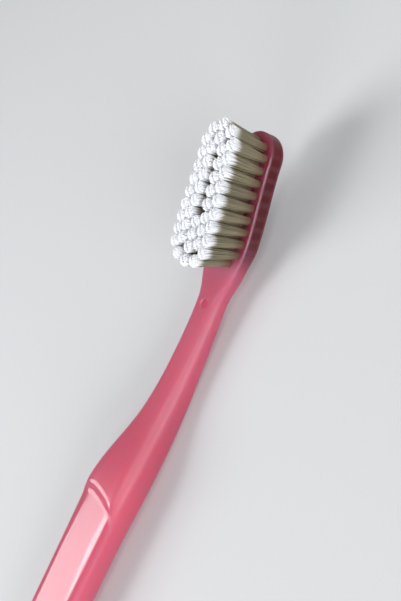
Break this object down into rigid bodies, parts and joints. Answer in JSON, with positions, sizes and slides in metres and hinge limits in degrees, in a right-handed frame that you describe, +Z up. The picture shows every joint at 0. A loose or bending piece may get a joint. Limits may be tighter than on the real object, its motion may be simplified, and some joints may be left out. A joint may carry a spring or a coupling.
{
  "type": "manual toothbrush",
  "caption": "Manual toothbrush with a one-piece translucent plastic handle and head, folded bristle tufts and the small metal plates that anchor them.",
  "frame": {"origin": "on the surface that the brush lies on, under the middle of its length", "axes": "+X along the brush towards its head, +Y across it to the left, +Z up, the way the bristles point"},
  "size_m": [0.1878, 0.0124, 0.0238],
  "materials": {
    "handle_plastic": "frosted translucent pink polypropylene with a polished thumb panel",
    "bristle_nylon": "natural white nylon filament with rounded ends",
    "anchor_metal": "bright drawn nickel silver"
  },
  "bodies": {
    "root": {"handle": "handle_plastic", "tuft_anchors": "anchor_metal", "tuft_01": "bristle_nylon", "tuft_02": "bristle_nylon", "tuft_03": "bristle_nylon", "tuft_04": "bristle_nylon", "tuft_05": "bristle_nylon", "tuft_06": "bristle_nylon", "tuft_07": "bristle_nylon", "tuft_08": "bristle_nylon", "tuft_09": "bristle_nylon", "tuft_10": "bristle_nylon", "tuft_11": "bristle_nylon", "tuft_12": "bristle_nylon", "tuft_13": "bristle_nylon", "tuft_14": "bristle_nylon", "tuft_15": "bristle_nylon", "tuft_16": "bristle_nylon", "tuft_17": "bristle_nylon", "tuft_18": "bristle_nylon", "tuft_19": "bristle_nylon", "tuft_20": "bristle_nylon", "tuft_21": "bristle_nylon", "tuft_22": "bristle_nylon", "tuft_23": "bristle_nylon", "tuft_24": "bristle_nylon", "tuft_25": "bristle_nylon", "tuft_26": "bristle_nylon", "tuft_27": "bristle_nylon", "tuft_28": "bristle_nylon", "tuft_29": "bristle_nylon", "tuft_30": "bristle_nylon", "tuft_31": "bristle_nylon", "tuft_32": "bristle_nylon", "tuft_33": "bristle_nylon", "tuft_34": "bristle_nylon", "tuft_35": "bristle_nylon", "tuft_36": "bristle_nylon", "tuft_37": "bristle_nylon", "tuft_38": "bristle_nylon", "tuft_39": "bristle_nylon", "tuft_40": "bristle_nylon", "tuft_41": "bristle_nylon", "tuft_42": "bristle_nylon", "tuft_43": "bristle_nylon", "tuft_44": "bristle_nylon"}
  },
  "joints": []
}
